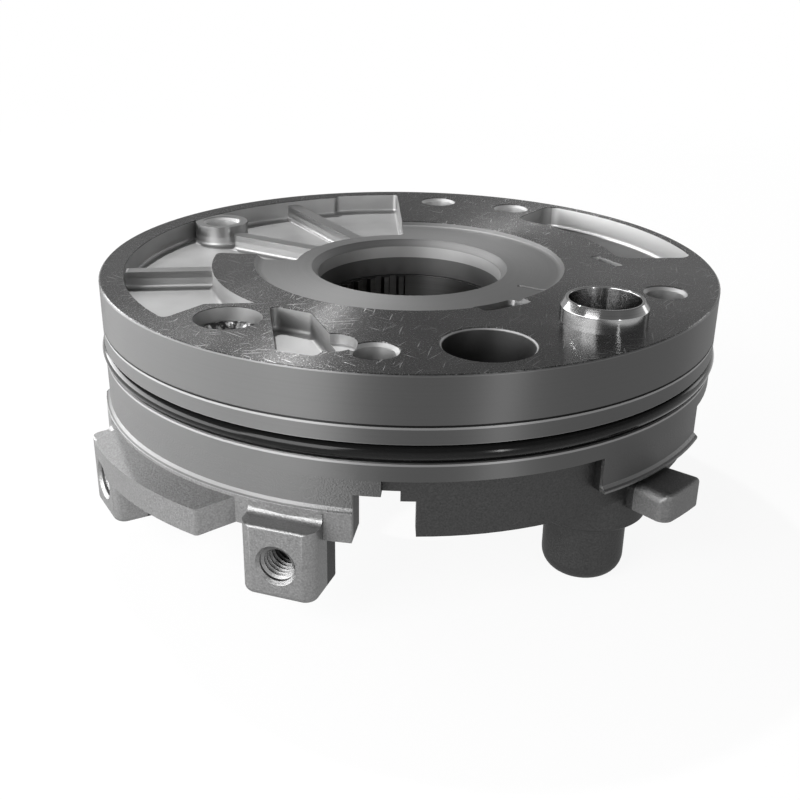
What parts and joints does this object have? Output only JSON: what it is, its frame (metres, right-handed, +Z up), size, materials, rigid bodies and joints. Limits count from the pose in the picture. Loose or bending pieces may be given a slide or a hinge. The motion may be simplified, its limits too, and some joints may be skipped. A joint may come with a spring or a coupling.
{
  "type": "rotor oil pump",
  "caption": "Round rotor-type oil pump body with ring seal, milled oil galleries, splined drive rotor, feed sleeve, check valve and threaded side lugs.",
  "frame": {"origin": "centre of the top joint face, on the drive axis", "axes": "+Z up along the drive axis, out of the joint face; -Y towards the side with the suction hole"},
  "size_m": [0.1572, 0.16, 0.0684],
  "materials": {
    "machined_aluminium": "machined and as-cast, satin",
    "cover_iron": "machined grey iron",
    "black_rubber": "smooth, lightly oiled",
    "turned_steel": "bright turned",
    "plug_metal": "rough bright",
    "ground_steel": "ground",
    "spring_steel": "drawn wire",
    "sintered_steel": "sintered and ground",
    "bush_bronze": "bored bearing metal",
    "case_steel": "pressed sheet",
    "fastener_steel": "zinc flake",
    "copper": "plain"
  },
  "bodies": {
    "pump_body": {"pump_housing": "machined_aluminium", "body_o_ring": "black_rubber", "feed_sleeve": "turned_steel", "check_spring": "spring_steel", "gallery_plug": "plug_metal", "gallery_ball": "ground_steel", "pump_cover": "cover_iron", "hub_bush": "bush_bronze", "seal_case": "case_steel", "seal_lip": "black_rubber", "garter_spring": "spring_steel", "cover_screws": "fastener_steel", "cover_dowels": "ground_steel", "relief_spring": "spring_steel", "relief_plug": "fastener_steel", "plug_washer": "copper"},
    "inner_rotor": {"drive_rotor": "sintered_steel"},
    "ring_rotor": {"outer_rotor": "sintered_steel"},
    "check_valve_cup": {"check_valve": "ground_steel"},
    "relief_valve_piston": {"relief_piston": "ground_steel"}
  },
  "joints": [
    {"name": "outer_rotor_spin", "type": "hinge", "parent": "pump_body", "child": "ring_rotor", "pos_m": [0, 0.003, -0.018], "axis": [0, 0, 1], "continuous": true},
    {"name": "drive_rotor_spin", "type": "hinge", "parent": "pump_body", "child": "inner_rotor", "pos_m": [0, 0, -0.018], "axis": [0, 0, 1], "continuous": true},
    {"name": "check_valve_slide", "type": "slide", "parent": "pump_body", "child": "check_valve_cup", "axis": [0, 0, -1], "range_m": [0, 0.005], "stiffness_N_per_m": 900, "springref_m": -0.004, "deforming": ["check_spring"]},
    {"name": "relief_piston_slide", "type": "slide", "parent": "pump_body", "child": "relief_valve_piston", "axis": [0, 0, -1], "range_m": [0, 0.0045], "stiffness_N_per_m": 2200, "springref_m": -0.005, "deforming": ["relief_spring"]}
  ],
  "couplings": [
    {"joint": "drive_rotor_spin", "follows": "outer_rotor_spin", "ratio": 1.125}
  ]
}
